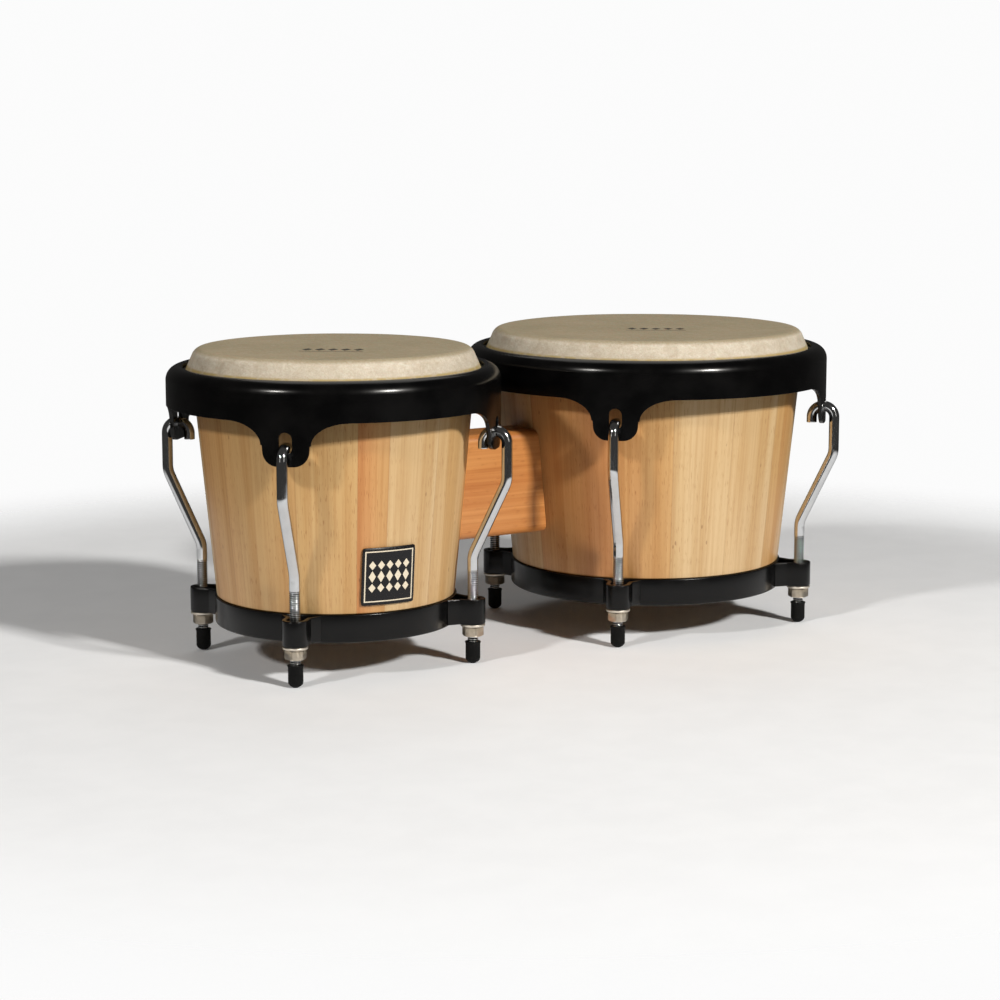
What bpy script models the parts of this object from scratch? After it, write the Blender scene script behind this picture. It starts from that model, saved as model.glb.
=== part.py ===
"""Bongo drums: two tapered stave shells joined by a wooden block.

Each drum has a rawhide head held by a steel rim. Four hooked rods pull the rim towards a
bottom ring, and the rods' rubber-capped ends are the feet that the drums stand on.

Metres, +Z up, the floor at Z = 0. The small drum is at -X, the large one at +X, and the
origin is the middle of the base of the whole object's box.
"""

import math

import bmesh
import bpy
from mathutils import Matrix, Vector

GAP = 0.0003  # clearance between neighbouring pieces

# The two drums: outer radius of the rim, radius that the head's profile is set out from, outer radius
# of the bottom ring.
DRUMS = {
    "small": {"rim": 0.0980, "head": 0.0790, "ring": 0.0715},
    "large": {"rim": 0.1130, "head": 0.0940, "ring": 0.0855},
}
CENTRE_DISTANCE = 0.2250
ROUND_STEPS = 40  # facets round a shell, a head or a ring
SMALL_STEPS = 12  # facets round a washer or a foot
BOLT_STEPS = 12
LUG_ANGLES = (45, 135, 225, 315)  # degrees round each drum

# Heights above the floor
RING_BOTTOM = 0.0230
RING_HEIGHT = 0.0163
RIM_EDGE = 0.1522  # lower edge of the rim between its ears
HEAD_ARC_CENTRE = 0.1788  # centre of the rounding at the edge of the head

# Shell
SHELL_WALL = 0.0105
BEARING_ROUND = 0.0049
BEARING_IN = 0.0022  # the rounded edge stands this far in from the line of the shell's side
COLLAR_SLOPE = 23.2  # degrees from upright of the skin between the edge and the flesh hoop
RING_LIP = 0.0024  # the ring's metal, and the lip that the shell stands on
RING_LIP_DEPTH = 0.0090
SHELL_PROUD = 0.0011  # the shell above the ring stands this far inside the ring's face

# Head, flesh hoop and rim
SKIN = 0.0013
HOOP_RADIUS = 0.0023
HOOP_OUT = 0.0116  # hoop's centre outside that radius of the head
HOOP_HEIGHT = 0.1697
HEM_END = 325.0  # degrees round the hoop, from the inner side (180) under it
RIM_METAL = 0.0024
RIM_ROUND = 0.0080
RIM_SIDE_TOP = 0.1669  # where the rim's side turns into its rounded top
RIM_LIP_IN = 0.0018  # the top reaches this far in from the crest, falling a little
RIM_LIP_FALL = 0.0003
RIM_PLAIN_STEPS = 6  # columns of the rim's mesh between two ears

# Ears of the rim, across and down from the ear's centre line
EAR_SWEEP_HALF = 0.036
EAR_NECK_HALF = 0.0146
EAR_LOBE_HALF = 0.0136
EAR_LOBE_ROUND = 0.0088
EAR_SHOULDER = 0.1396
EAR_BOTTOM = 0.1278
SLOT_WIDTH = 0.0080
SLOT_BOTTOM = 0.1345
SLOT_TOP = 0.1470

# Tuning rods
ROD_RADIUS = 0.003175
HOOK_RADIUS = 0.0070
ROD_OFFSET = 0.0205  # the threaded end runs this far inside the hooked end
ROD_BEND_HIGH = 0.1085
ROD_BEND_LOW = 0.0645
ROD_BEND_RADIUS = 0.0150
ROD_END = 0.0040
HOOK_TIP_DROP = 0.0035
HOOK_CLEARANCE = 0.0005  # under the hook, above the bottom of the ear's slot

# Strap lugs, washers, nuts and feet
STRAP = 0.0025
STRAP_LOOP_RADIUS = 0.00615
STRAP_HEIGHT = 0.0150
STRAP_FLARE_HALF = 0.0105
STRAP_RISE = 0.0010  # the strap's lower edge stands this far above the band's
WASHER_RADIUS = 0.00725
WASHER_BORE = 0.0038
WASHER_THICKNESS = 0.0014
NUT_ACROSS_FLATS = 0.0111
NUT_BORE = 0.0036
NUT_HEIGHT = 0.0056
FOOT_RADIUS = 0.00475
FOOT_HEIGHT = 0.0130
FOOT_TIP_RADIUS = 0.0014

# Centre block and what bolts it to the shells
BLOCK_WIDTH = 0.032
BLOCK_BOTTOM = 0.0644
BLOCK_TOP = 0.1280
BLOCK_ROUND = 0.0050
BOLT_HEIGHTS = {"lower": 0.0790, "upper": 0.1134}
BOLT_RADIUS = 0.0040
BOLT_HOLE_RADIUS = 0.0045
BOLT_LENGTH = 0.0300
BOLT_HEAD_ACROSS_FLATS = 0.0130
BOLT_HEAD_HEIGHT = 0.0053
BOLT_WASHER_RADIUS = 0.0100
BOLT_WASHER_THICKNESS = 0.0016
SEAT_RADIUS = 0.0106  # flat seat for the washer, cut into the shell's inside
SEAT_DEPTH = 0.0002
INSERT_RADIUS = 0.0060
INSERT_LENGTH = 0.0200
INSERT_RECESS = 0.0010  # below the block's end
INSERT_SPARE = 0.0030  # of the bore beyond the insert

# Badge
BADGE_WIDTH = 0.0330
BADGE_BOTTOM = 0.0445
BADGE_TOP = 0.0780
BADGE_THICKNESS = 0.0010
BADGE_ANGLE = 265.5
BADGE_STAND_OFF = 0.0005
BADGE_COLUMNS = 8

RING_TOP = RING_BOTTOM + RING_HEIGHT

LENGTH = DRUMS["small"]["rim"] + CENTRE_DISTANCE + DRUMS["large"]["rim"]
DRUMS["small"]["x"] = DRUMS["small"]["rim"] - LENGTH / 2
DRUMS["large"]["x"] = DRUMS["small"]["x"] + CENTRE_DISTANCE

MATERIALS = {
    "shell_wood": ((0.62, 0.42, 0.22), 0.32, 0.0),
    "block_wood": ((0.58, 0.30, 0.13), 0.38, 0.0),
    "rawhide": ((0.56, 0.48, 0.37), 0.60, 0.0),
    "black_steel": ((0.006, 0.006, 0.007), 0.28, 0.0),
    "chrome": ((0.78, 0.78, 0.80), 0.08, 1.0),
    "nickel": ((0.62, 0.58, 0.50), 0.30, 1.0),
    "steel": ((0.50, 0.50, 0.52), 0.35, 1.0),
    "brass": ((0.66, 0.47, 0.19), 0.32, 1.0),
    "black_rubber": ((0.012, 0.012, 0.012), 0.75, 0.0),
    "badge_enamel": ((0.010, 0.010, 0.011), 0.20, 0.0),
}


def clear_scene():
    for obj in list(bpy.data.objects):
        bpy.data.objects.remove(obj, do_unlink=True)


def make_collection(name, hidden=False):
    collection = bpy.data.collections.new(name)
    bpy.context.scene.collection.children.link(collection)
    collection.hide_render = hidden
    return collection


def make_materials():
    made = {}
    for name, (colour, roughness, metallic) in MATERIALS.items():
        material = bpy.data.materials.new(name)
        material.use_nodes = True
        shader = material.node_tree.nodes["Principled BSDF"]
        shader.inputs["Base Color"].default_value = (*colour, 1.0)
        shader.inputs["Roughness"].default_value = roughness
        shader.inputs["Metallic"].default_value = metallic
        made[name] = material
    return made


clear_scene()
PARTS = make_collection("bongo_drums")
CUTTERS = make_collection("bongo_drums_cutters", hidden=True)
LOOKS = make_materials()


def add_object(name, mesh, material=None, place=None):
    obj = bpy.data.objects.new(name, mesh)
    PARTS.objects.link(obj)
    if material and LOOKS[material].name not in mesh.materials:
        mesh.materials.append(LOOKS[material])
    if place:
        obj.matrix_world = place
    return obj


def add_cutter(name, mesh, place=None):
    cutter = bpy.data.objects.new(name, mesh)
    CUTTERS.objects.link(cutter)
    cutter.hide_render = True
    cutter.display_type = "WIRE"
    if place:
        cutter.matrix_world = place
    return cutter


def boolean(obj, other, operation="DIFFERENCE"):
    modifier = obj.modifiers.new(other.name, "BOOLEAN")
    modifier.operation = operation
    modifier.solver = "EXACT"
    modifier.object = other


def evaluated_mesh(obj, smooth_angle=35):
    """The object's mesh with its modifiers applied, shaded smooth up to the given angle."""
    bpy.context.view_layer.update()
    graph = bpy.context.evaluated_depsgraph_get()
    mesh = bpy.data.meshes.new_from_object(obj.evaluated_get(graph))
    mesh.name = obj.name
    mesh.shade_smooth()
    mesh.set_sharp_from_angle(angle=math.radians(smooth_angle))
    return mesh


def settle(obj):
    """Replaces the object's mesh and modifiers with the shape that they make."""
    mesh = evaluated_mesh(obj)
    obj.modifiers.clear()
    obj.data = mesh
    return obj


def bmesh_object(name, bm, material, place=None):
    mesh = bpy.data.meshes.new(name)
    bm.to_mesh(mesh)
    bm.free()
    return add_object(name, mesh, material, place)


def turned(name, profile, material, steps=ROUND_STEPS, place=None):
    """A closed profile of (radius, height) points turned round Z: outer side first, downwards."""
    bm = bmesh.new()
    verts = [bm.verts.new((radius, 0, height)) for radius, height in profile]
    for vert, following in zip(verts, verts[1:] + verts[:1]):
        if vert.co.x > 0 or following.co.x > 0:
            bm.edges.new((vert, following))
    obj = bmesh_object(name, bm, material, place)
    screw = obj.modifiers.new("turn", "SCREW")
    screw.axis = "Z"
    screw.steps = screw.render_steps = steps
    screw.use_merge_vertices = True
    screw.merge_threshold = 0.00001
    return settle(obj)


def solid_mesh(name, sides, radius, low, high, top_radius=None):
    """An upright prism, cylinder or frustum between two heights."""
    bm = bmesh.new()
    bmesh.ops.create_cone(
        bm,
        cap_ends=True,
        segments=sides,
        radius1=radius,
        radius2=radius if top_radius is None else top_radius,
        depth=high - low,
        matrix=Matrix.Translation((0, 0, (low + high) / 2)),
    )
    mesh = bpy.data.meshes.new(name)
    bm.to_mesh(mesh)
    bm.free()
    return mesh


def arc(centre, radius, start, end, steps):
    """Points (x, y) along an arc, angles in degrees, both ends included."""
    points = []
    for step in range(steps + 1):
        angle = math.radians(start + (end - start) * step / steps)
        points.append((centre[0] + radius * math.cos(angle), centre[1] + radius * math.sin(angle)))
    return points


def rounded_corner(before, corner, after, radius, steps=4):
    """Points along the arc that rounds off the corner of a path, in the path's plane."""
    before, corner, after = Vector(before), Vector(corner), Vector(after)
    back = (before - corner).normalized()
    onward = (after - corner).normalized()
    half = back.angle(onward) / 2
    reach = radius / math.tan(half)
    centre = corner + (back + onward).normalized() * radius / math.sin(half)
    start = corner + back * reach - centre
    end = corner + onward * reach - centre
    axis, angle = start.rotation_difference(end).to_axis_angle()
    turns = [Matrix.Rotation(angle * step / steps, 3, axis) for step in range(steps + 1)]
    return [tuple(centre + turn @ start) for turn in turns]


def at_drum(drum):
    return Matrix.Translation((drum["x"], 0, 0))


def at_lug(drum, angle, radius=0.0, height=0.0):
    """A place whose +X points away from the drum's axis at this angle round it."""
    turn = Matrix.Rotation(math.radians(angle), 4, "Z")
    return at_drum(drum) @ turn @ Matrix.Translation((radius, 0, height))


def rod_radii(drum):
    """How far from the drum's axis the rod's hooked and threaded ends run."""
    hooked = drum["rim"] - RIM_METAL / 2 + HOOK_RADIUS
    return hooked, hooked - ROD_OFFSET


def shell_radius(drum, height):
    """The shell's outer radius: a straight taper from the bottom ring to the bearing edge."""
    low = drum["ring"] - SHELL_PROUD
    high = drum["head"] + BEARING_ROUND
    share = (height - RING_TOP) / (HEAD_ARC_CENTRE - RING_TOP)
    return low + (high - low) * share


def bevel_foot(drum, radius, height):
    """Where the bevel that falls outward from this point of the bearing edge meets the shell's side."""
    slope = math.tan(math.radians(COLLAR_SLOPE))
    taper = (shell_radius(drum, height) - shell_radius(drum, 0)) / height
    meet = (radius + slope * height - shell_radius(drum, 0)) / (slope + taper)
    return shell_radius(drum, meet), meet


# Shells, heads, flesh hoops


def make_shell(name, drum):
    rebate = drum["ring"] - RING_LIP - GAP
    foot = RING_BOTTOM + RING_LIP + GAP
    step = RING_TOP + GAP
    inner_top = drum["head"] + BEARING_ROUND - SHELL_WALL
    inner_foot = shell_radius(drum, foot) - SHELL_WALL
    edge = (drum["head"] - BEARING_IN, HEAD_ARC_CENTRE)
    bearing = arc(edge, BEARING_ROUND, 90, COLLAR_SLOPE, 3)
    profile = [
        *bearing,
        bevel_foot(drum, *bearing[-1]),
        (shell_radius(drum, step), step),
        (rebate, step),
        (rebate, foot),
        (inner_foot, foot),
        (inner_top, HEAD_ARC_CENTRE - BEARING_ROUND),
    ]
    return turned(name + "_shell", profile, "shell_wood", place=at_drum(drum))


def make_head(name, drum):
    """The skin: flat over the drum, down and out from its edge, and tucked round the flesh hoop."""
    edge = (drum["head"] - BEARING_IN, HEAD_ARC_CENTRE)
    inside = BEARING_ROUND + GAP
    outside = inside + SKIN
    hoop = (drum["head"] + HOOP_OUT, HOOP_HEIGHT)
    hem_inside = HOOP_RADIUS + GAP
    hem_outside = hem_inside + SKIN
    profile = [
        (0, HEAD_ARC_CENTRE + outside),
        *arc(edge, outside, 90, COLLAR_SLOPE, 3),
        *arc(hoop, hem_inside, 180 + COLLAR_SLOPE, HEM_END, 4),
        *arc(hoop, hem_outside, HEM_END, 180 + COLLAR_SLOPE, 4),
        *arc(edge, inside, COLLAR_SLOPE, 90, 3),
        (0, HEAD_ARC_CENTRE + inside),
    ]
    return turned(name + "_head_skin", profile, "rawhide", place=at_drum(drum))


def make_flesh_hoop(name, drum):
    centre = (drum["head"] + HOOP_OUT, HOOP_HEIGHT)
    profile = arc(centre, HOOP_RADIUS, 90, -270, 6)[:-1]
    return turned(name + "_flesh_hoop", profile, "steel", place=at_drum(drum))


# Rim


def ear_edge(across):
    """Height of the rim's lower edge at this distance along it from the middle of an ear."""
    across = abs(across)
    if across >= EAR_SWEEP_HALF:
        return RIM_EDGE
    if across >= EAR_NECK_HALF:
        run = (EAR_SWEEP_HALF - across) / (EAR_SWEEP_HALF - EAR_NECK_HALF)
        return EAR_SHOULDER + (RIM_EDGE - EAR_SHOULDER) * math.sqrt(1 - run**2)
    if across <= EAR_LOBE_HALF - EAR_LOBE_ROUND:
        return EAR_BOTTOM
    share = min((across - EAR_LOBE_HALF + EAR_LOBE_ROUND) / EAR_LOBE_ROUND, 1)
    return EAR_BOTTOM + EAR_LOBE_ROUND * (1 - math.sqrt(1 - share**2))


def rim_columns(radius):
    """Angles in radians round the rim, close together along the ears."""
    ear = [0, EAR_LOBE_HALF - EAR_LOBE_ROUND]
    ear += [EAR_LOBE_HALF - EAR_LOBE_ROUND * share for share in (0.4, 0)]
    sweep = EAR_SWEEP_HALF - EAR_NECK_HALF
    ear += [EAR_NECK_HALF + sweep * share for share in (0, 0.12, 0.45, 1)]
    ear_half = EAR_SWEEP_HALF / radius
    plain = math.tau / len(LUG_ANGLES) - 2 * ear_half
    columns = []
    for lug in LUG_ANGLES:
        middle = math.radians(lug)
        columns += [(middle - across / radius, across) for across in reversed(ear[1:])]
        columns += [(middle + across / radius, across) for across in ear]
        for step in range(1, RIM_PLAIN_STEPS):
            columns.append((middle + ear_half + plain * step / RIM_PLAIN_STEPS, EAR_SWEEP_HALF))
    return columns


def make_rim(name, drum):
    radius = drum["rim"]
    crest = radius - RIM_ROUND
    top = arc((crest, RIM_SIDE_TOP), RIM_ROUND, 90, 0, 3)
    lip = (crest - RIM_LIP_IN, RIM_SIDE_TOP + RIM_ROUND - RIM_LIP_FALL)
    bm = bmesh.new()
    rows = []
    for angle, across in rim_columns(radius):
        section = [lip, *top, (radius, ear_edge(across))]
        rows.append(
            [bm.verts.new((r * math.cos(angle), r * math.sin(angle), z)) for r, z in section]
        )
    for row, following in zip(rows, rows[1:] + rows[:1]):
        for level in range(len(row) - 1):
            bm.faces.new((row[level], row[level + 1], following[level + 1], following[level]))
    bmesh.ops.recalc_face_normals(bm, faces=bm.faces)
    rim = bmesh_object(name + "_rim", bm, "black_steel", at_drum(drum))
    metal = rim.modifiers.new("metal", "SOLIDIFY")
    metal.thickness = RIM_METAL
    metal.offset = -1
    metal.use_even_offset = True
    boolean(rim, ear_slots(name, drum))
    return settle(rim)


def ear_slots(name, drum):
    """Four upright slots through the ears, longer than the metal is thick."""
    bm = bmesh.new()
    for angle in LUG_ANGLES:
        place = at_lug(drum, angle, drum["rim"], (SLOT_BOTTOM + SLOT_TOP) / 2)
        size = Matrix.Diagonal((6 * RIM_METAL, SLOT_WIDTH, SLOT_TOP - SLOT_BOTTOM, 1))
        bmesh.ops.create_cube(bm, size=1, matrix=place @ size)
    mesh = bpy.data.meshes.new(name + "_ear_slots")
    bm.to_mesh(mesh)
    bm.free()
    return add_cutter(name + "_ear_slots", mesh)


# Bottom ring


def strap_path(drum):
    """One strap lug in plan: from the band, round the rod and back, +X away from the drum."""
    rod = rod_radii(drum)[1]
    loop = arc((rod, 0), STRAP_LOOP_RADIUS, -90, 90, 6)
    band = drum["ring"] - RING_LIP / 2
    knee = (drum["ring"] + (rod - drum["ring"]) * 0.45, STRAP_LOOP_RADIUS)
    return [
        (band, -STRAP_FLARE_HALF),
        (knee[0], -knee[1]),
        *loop,
        knee,
        (band, STRAP_FLARE_HALF),
    ]


def make_bottom_ring(name, drum):
    face = drum["ring"]
    profile = [
        (face, RING_TOP),
        (face, RING_BOTTOM),
        (face - RING_LIP_DEPTH, RING_BOTTOM),
        (face - RING_LIP_DEPTH, RING_BOTTOM + RING_LIP),
        (face - RING_LIP, RING_BOTTOM + RING_LIP),
        (face - RING_LIP, RING_TOP),
    ]
    ring = turned(name + "_bottom_ring", profile, "black_steel", place=at_drum(drum))
    for index, angle in enumerate(LUG_ANGLES, start=1):
        boolean(ring, make_strap(f"{name}_strap_{index}", drum, angle), "UNION")
    return settle(ring)


def make_strap(name, drum, angle):
    bm = bmesh.new()
    low = RING_BOTTOM + STRAP_RISE
    rows = []
    for x, y in strap_path(drum):
        rows.append([bm.verts.new((x, y, z)) for z in (low, low + STRAP_HEIGHT)])
    for row, following in zip(rows, rows[1:]):
        bm.faces.new((row[0], following[0], following[1], row[1]))
    strap = bmesh_object(name, bm, "black_steel")
    metal = strap.modifiers.new("metal", "SOLIDIFY")
    metal.thickness = STRAP
    metal.offset = 0
    metal.use_even_offset = True
    mesh = evaluated_mesh(strap)
    bpy.data.objects.remove(strap)
    return add_cutter(name, mesh, at_lug(drum, angle))


# Tuning gear


def rod_mesh(name, drum):
    """A hooked rod in the XZ plane, +X away from the drum: foot, offset, hook over the ear."""
    hooked, threaded = rod_radii(drum)
    hook_height = SLOT_BOTTOM + HOOK_CLEARANCE + ROD_RADIUS - HOOK_RADIUS
    foot = (threaded, 0, ROD_END)
    low_bend = (threaded, 0, ROD_BEND_LOW)
    high_bend = (hooked, 0, ROD_BEND_HIGH)
    hook_start = (hooked, 0, hook_height)
    hook = arc((hooked - HOOK_RADIUS, hook_height), HOOK_RADIUS, 0, 180, 8)
    points = [
        foot,
        *rounded_corner(foot, low_bend, high_bend, ROD_BEND_RADIUS),
        *rounded_corner(low_bend, high_bend, hook_start, ROD_BEND_RADIUS),
        *[(x, 0, z) for x, z in hook],
        (hooked - 2 * HOOK_RADIUS, 0, hook_height - HOOK_TIP_DROP),
    ]
    curve = bpy.data.curves.new(name, "CURVE")
    curve.dimensions = "3D"
    curve.bevel_depth = ROD_RADIUS
    curve.bevel_resolution = 2
    curve.use_fill_caps = True
    spline = curve.splines.new("POLY")
    spline.points.add(len(points) - 1)
    for point, place in zip(spline.points, points):
        point.co = (*place, 1)
    return mesh_from_curve(name, curve)


def mesh_from_curve(name, curve):
    rod = bpy.data.objects.new(name, curve)
    PARTS.objects.link(rod)
    mesh = evaluated_mesh(rod)
    bpy.data.objects.remove(rod)
    bm = bmesh.new()
    bm.from_mesh(mesh)
    bmesh.ops.remove_doubles(bm, verts=bm.verts, dist=0.000001)
    bmesh.ops.recalc_face_normals(bm, faces=bm.faces)
    bm.to_mesh(mesh)
    bm.free()
    return mesh


def nut_mesh():
    """A hexagonal nut centred on its own axis."""
    half = NUT_HEIGHT / 2
    corner = NUT_ACROSS_FLATS / math.sqrt(3)
    nut = add_object("nut", solid_mesh("nut", 6, corner, -half, half))
    bore = add_cutter("nut_bore", solid_mesh("nut_bore", SMALL_STEPS, NUT_BORE, -NUT_HEIGHT, NUT_HEIGHT))
    boolean(nut, bore)
    mesh = evaluated_mesh(nut)
    bpy.data.objects.remove(nut)
    return mesh


def washer_mesh(name, radius, bore, thickness):
    half = thickness / 2
    profile = [(radius, half), (radius, -half), (bore, -half), (bore, half)]
    washer = turned(name, profile, "nickel", steps=SMALL_STEPS)
    mesh = washer.data
    bpy.data.objects.remove(washer)
    return mesh


def foot_mesh():
    """A rubber cap with a domed end, its bore open at the top for the rod."""
    bore = ROD_RADIUS + GAP
    dome = FOOT_RADIUS - FOOT_TIP_RADIUS
    profile = [
        (bore, FOOT_HEIGHT),
        (FOOT_RADIUS, FOOT_HEIGHT),
        *arc((FOOT_TIP_RADIUS, dome), dome, 0, -90, 3),
        (0, 0),
        (0, ROD_END - GAP),
        (bore, ROD_END - GAP),
    ]
    foot = turned("foot", profile, "black_rubber", steps=SMALL_STEPS)
    mesh = foot.data
    bpy.data.objects.remove(foot)
    return mesh


def make_tuning_gear(name, drum, lifted, shared):
    """Rods, washers, nuts and feet at the four lugs. Rods and feet move with the rim."""
    threaded = rod_radii(drum)[1]
    rod = rod_mesh(name + "_rod", drum)
    washer_height = RING_BOTTOM + STRAP_RISE - GAP - WASHER_THICKNESS / 2
    nut_height = washer_height - WASHER_THICKNESS / 2 - GAP - NUT_HEIGHT / 2
    for number, angle in enumerate(LUG_ANGLES, start=1):
        low = at_lug(drum, angle, threaded)
        rod_object = add_object(f"{name}_tuning_rod_{number}", rod, "chrome", at_lug(drum, angle))
        foot_object = add_object(f"{name}_rubber_foot_{number}", shared["foot"], "black_rubber", low)
        lifted += [rod_object, foot_object]
        washer_place = at_lug(drum, angle, threaded, washer_height)
        add_object(f"{name}_washer_{number}", shared["washer"], "nickel", washer_place)
        nut_place = at_lug(drum, angle, threaded, nut_height)
        add_object(f"{name}_tuning_nut_{number}", shared["nut"], "nickel", nut_place)


# Block and its bolts


def along_x(drum, height, towards):
    """A place on the drum's axis at this height whose +Z points along +X or -X."""
    turn = Matrix.Rotation(math.radians(90 * towards), 4, "Y")
    return Matrix.Translation((drum["x"], 0, height)) @ turn


def bolt_seat(drum, height):
    """Distance from the drum's axis to the flat seat cut inside the shell for a washer."""
    return shell_radius(drum, height + SEAT_RADIUS) - SHELL_WALL + SEAT_DEPTH


def cut_bolt_holes(name, drum, shell, towards):
    for level, height in BOLT_HEIGHTS.items():
        place = along_x(drum, height, towards)
        seat = bolt_seat(drum, height)
        outside = shell_radius(drum, height) + SHELL_WALL
        start = seat - SHELL_WALL
        seat_mesh = solid_mesh("bolt_seat", BOLT_STEPS, SEAT_RADIUS, start, seat)
        boolean(shell, add_cutter(f"{name}_bolt_seat_{level}", seat_mesh, place))
        hole_mesh = solid_mesh("bolt_hole", BOLT_STEPS, BOLT_HOLE_RADIUS, start, outside)
        boolean(shell, add_cutter(f"{name}_bolt_hole_{level}", hole_mesh, place))
    settle(shell)


def bolt_mesh():
    """A hexagonal bolt: the head's underside at the origin and the shank along +Z."""
    corner = BOLT_HEAD_ACROSS_FLATS / math.sqrt(3)
    bolt = add_object("bolt", solid_mesh("bolt", 6, corner, -BOLT_HEAD_HEIGHT, 0))
    shank = solid_mesh("bolt_shank", BOLT_STEPS, BOLT_RADIUS, -BOLT_HEAD_HEIGHT / 2, BOLT_LENGTH)
    boolean(bolt, add_cutter("bolt_shank", shank), "UNION")
    mesh = evaluated_mesh(bolt)
    bpy.data.objects.remove(bolt)
    return mesh


def insert_mesh():
    bore = BOLT_RADIUS + GAP
    profile = [(INSERT_RADIUS, INSERT_LENGTH), (INSERT_RADIUS, 0), (bore, 0), (bore, INSERT_LENGTH)]
    insert = turned("insert", profile, "brass", steps=BOLT_STEPS)
    mesh = insert.data
    bpy.data.objects.remove(insert)
    return mesh


def make_block():
    """A rounded bar between the drums, each end scooped to its shell and bored for inserts."""
    small, large = DRUMS["small"], DRUMS["large"]
    bm = bmesh.new()
    middle = Vector((small["x"] + CENTRE_DISTANCE / 2, 0, (BLOCK_BOTTOM + BLOCK_TOP) / 2))
    size = Matrix.Diagonal((CENTRE_DISTANCE, BLOCK_WIDTH, BLOCK_TOP - BLOCK_BOTTOM, 1))
    bmesh.ops.create_cube(bm, size=1, matrix=Matrix.Translation(middle) @ size)
    block = bmesh_object("centre_block", bm, "block_wood")
    rounding = block.modifiers.new("rounding", "BEVEL")
    rounding.width = BLOCK_ROUND
    rounding.segments = 3
    for name, drum, towards in (("small", small, 1), ("large", large, -1)):
        low, high = BLOCK_BOTTOM - BLOCK_ROUND, BLOCK_TOP + BLOCK_ROUND
        scoop = solid_mesh(
            "scoop",
            ROUND_STEPS,
            shell_radius(drum, low) + GAP,
            low,
            high,
            shell_radius(drum, high) + GAP,
        )
        boolean(block, add_cutter(name + "_block_scoop", scoop, at_drum(drum)))
        for level, height in BOLT_HEIGHTS.items():
            end = shell_radius(drum, height) + GAP
            bore = solid_mesh(
                "insert_bore",
                BOLT_STEPS,
                INSERT_RADIUS + GAP,
                end - INSERT_LENGTH,
                end + INSERT_RECESS + INSERT_LENGTH + INSERT_SPARE,
            )
            place = along_x(drum, height, towards)
            boolean(block, add_cutter(f"{name}_insert_bore_{level}", bore, place))
    return settle(block)


def make_bolts(name, drum, towards, shared):
    for level, height in BOLT_HEIGHTS.items():
        place = along_x(drum, height, towards)
        washer = bolt_seat(drum, height) - GAP - BOLT_WASHER_THICKNESS / 2
        head = washer - BOLT_WASHER_THICKNESS / 2 - GAP
        insert = shell_radius(drum, height) + GAP + INSERT_RECESS
        for piece, distance, material in (
            ("block_bolt_washer", washer, "steel"),
            ("block_bolt", head, "steel"),
            ("threaded_insert", insert, "brass"),
        ):
            spot = place @ Matrix.Translation((0, 0, distance))
            add_object(f"{piece}_{name}_{level}", shared[piece], material, spot)


# Badge


def make_badge(drum):
    """A thin plate bent to the shell."""
    bm = bmesh.new()
    rows = []
    for column in range(BADGE_COLUMNS + 1):
        row = []
        for height in (BADGE_BOTTOM, BADGE_TOP):
            radius = shell_radius(drum, height) + BADGE_STAND_OFF
            along = BADGE_WIDTH * (column / BADGE_COLUMNS - 0.5)
            angle = math.radians(BADGE_ANGLE) + along / radius
            row.append(bm.verts.new((radius * math.cos(angle), radius * math.sin(angle), height)))
        rows.append(row)
    for row, following in zip(rows, rows[1:]):
        bm.faces.new((row[0], following[0], following[1], row[1]))
    badge = bmesh_object("badge", bm, "badge_enamel", at_drum(drum))
    metal = badge.modifiers.new("metal", "SOLIDIFY")
    metal.thickness = BADGE_THICKNESS
    metal.offset = 1
    return settle(badge)


def lift_empty(name, drum, pieces):
    """An empty on the drum's axis that carries everything that lifts when it is slackened."""
    empty = bpy.data.objects.new(name + "_tuning", None)
    PARTS.objects.link(empty)
    empty.matrix_world = at_drum(drum)
    bpy.context.view_layer.update()
    for piece in pieces:
        place = piece.matrix_world.copy()
        piece.parent = empty
        piece.matrix_world = place


def main():
    bolt_washer = (BOLT_WASHER_RADIUS, BOLT_RADIUS + GAP, BOLT_WASHER_THICKNESS)
    shared = {
        "washer": washer_mesh("washer", WASHER_RADIUS, WASHER_BORE, WASHER_THICKNESS),
        "nut": nut_mesh(),
        "foot": foot_mesh(),
        "block_bolt": bolt_mesh(),
        "block_bolt_washer": washer_mesh("block_bolt_washer", *bolt_washer),
        "threaded_insert": insert_mesh(),
    }
    for name, towards in (("small", 1), ("large", -1)):
        drum = DRUMS[name]
        shell = make_shell(name, drum)
        cut_bolt_holes(name, drum, shell, towards)
        make_bottom_ring(name, drum)
        lifted = [make_head(name, drum), make_flesh_hoop(name, drum), make_rim(name, drum)]
        make_tuning_gear(name, drum, lifted, shared)
        make_bolts(name, drum, towards, shared)
        lift_empty(name, drum, lifted)
    make_block()
    make_badge(DRUMS["small"])


main()
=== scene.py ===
"""Bongo drums: the finished surfaces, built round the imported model, with its floor, lights and camera.

Metres, +Z up. The small drum is at -X, the large one at +X, and their axes are upright.
"""

from math import atan2, copysign, cos, hypot, pi, radians, sin, sqrt, tan, tau
from types import SimpleNamespace

import bmesh
import bpy
from mathutils import Matrix, Vector, noise


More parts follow.
